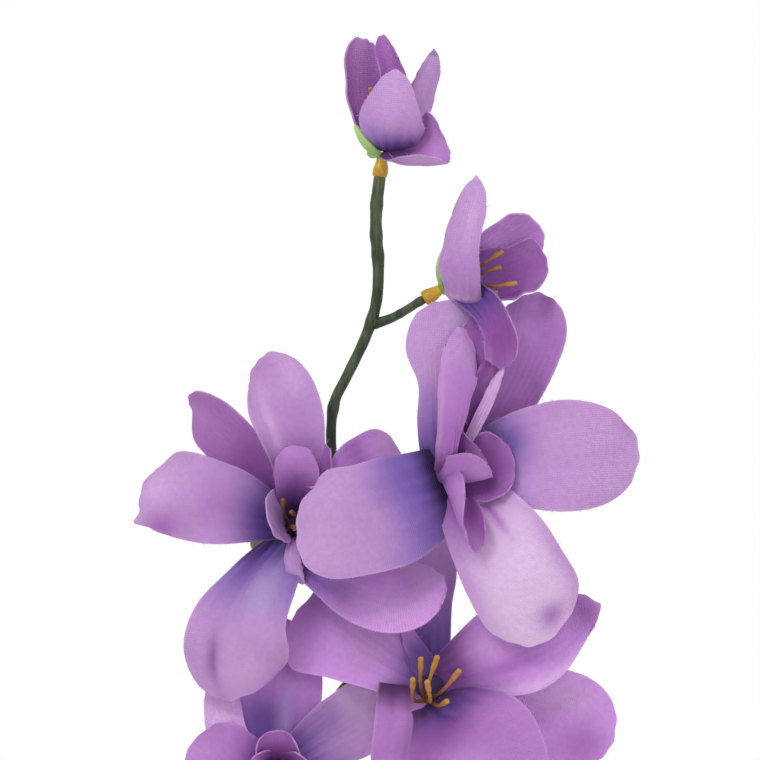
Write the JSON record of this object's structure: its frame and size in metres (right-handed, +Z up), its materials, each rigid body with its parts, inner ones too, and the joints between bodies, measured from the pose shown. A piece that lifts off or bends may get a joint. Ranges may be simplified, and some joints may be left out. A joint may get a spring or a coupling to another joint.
{
  "type": "artificial orchid stem in vase",
  "caption": "Purple fabric orchid spray with open blooms and buds on a bent green stem, standing in a clear glass bottle vase with clear set filling.",
  "frame": {"origin": "middle of the vase's foot, on the surface it stands on", "axes": "+Z up along the vase and the stem, -Y the way the blooms look, +X to the right seen from the front"},
  "size_m": [0.1249, 0.0724, 0.4421],
  "materials": {
    "vase_glass": "clear polished glass",
    "fill_resin": "clear set resin",
    "stem_green": "dark green moulded plastic",
    "petal_fabric": "woven satin-like fabric, purple with darker roots",
    "stamen_gold": "yellow-brown moulded plastic",
    "calyx_green": "light green soft plastic",
    "collar_yellow": "yellow glossy plastic"
  },
  "bodies": {
    "root": {"vase": "vase_glass", "fill": "fill_resin", "stem": "stem_green", "bud_top_petals": "petal_fabric", "bud_top_stamens": "stamen_gold", "bud_top_calyx": "calyx_green", "bud_top_collar": "collar_yellow", "bud_side_petals": "petal_fabric", "bud_side_stamens": "stamen_gold", "bud_side_calyx": "calyx_green", "bud_side_collar": "collar_yellow", "bloom_left_petals": "petal_fabric", "bloom_left_stamens": "stamen_gold", "bloom_left_calyx": "calyx_green", "bloom_left_collar": "collar_yellow", "bloom_right_petals": "petal_fabric", "bloom_right_stamens": "stamen_gold", "bloom_right_calyx": "calyx_green", "bloom_right_collar": "collar_yellow", "bloom_front_petals": "petal_fabric", "bloom_front_stamens": "stamen_gold", "bloom_front_calyx": "calyx_green", "bloom_front_collar": "collar_yellow", "bloom_low_petals": "petal_fabric", "bloom_low_stamens": "stamen_gold", "bloom_low_calyx": "calyx_green", "bloom_low_collar": "collar_yellow"}
  },
  "joints": []
}
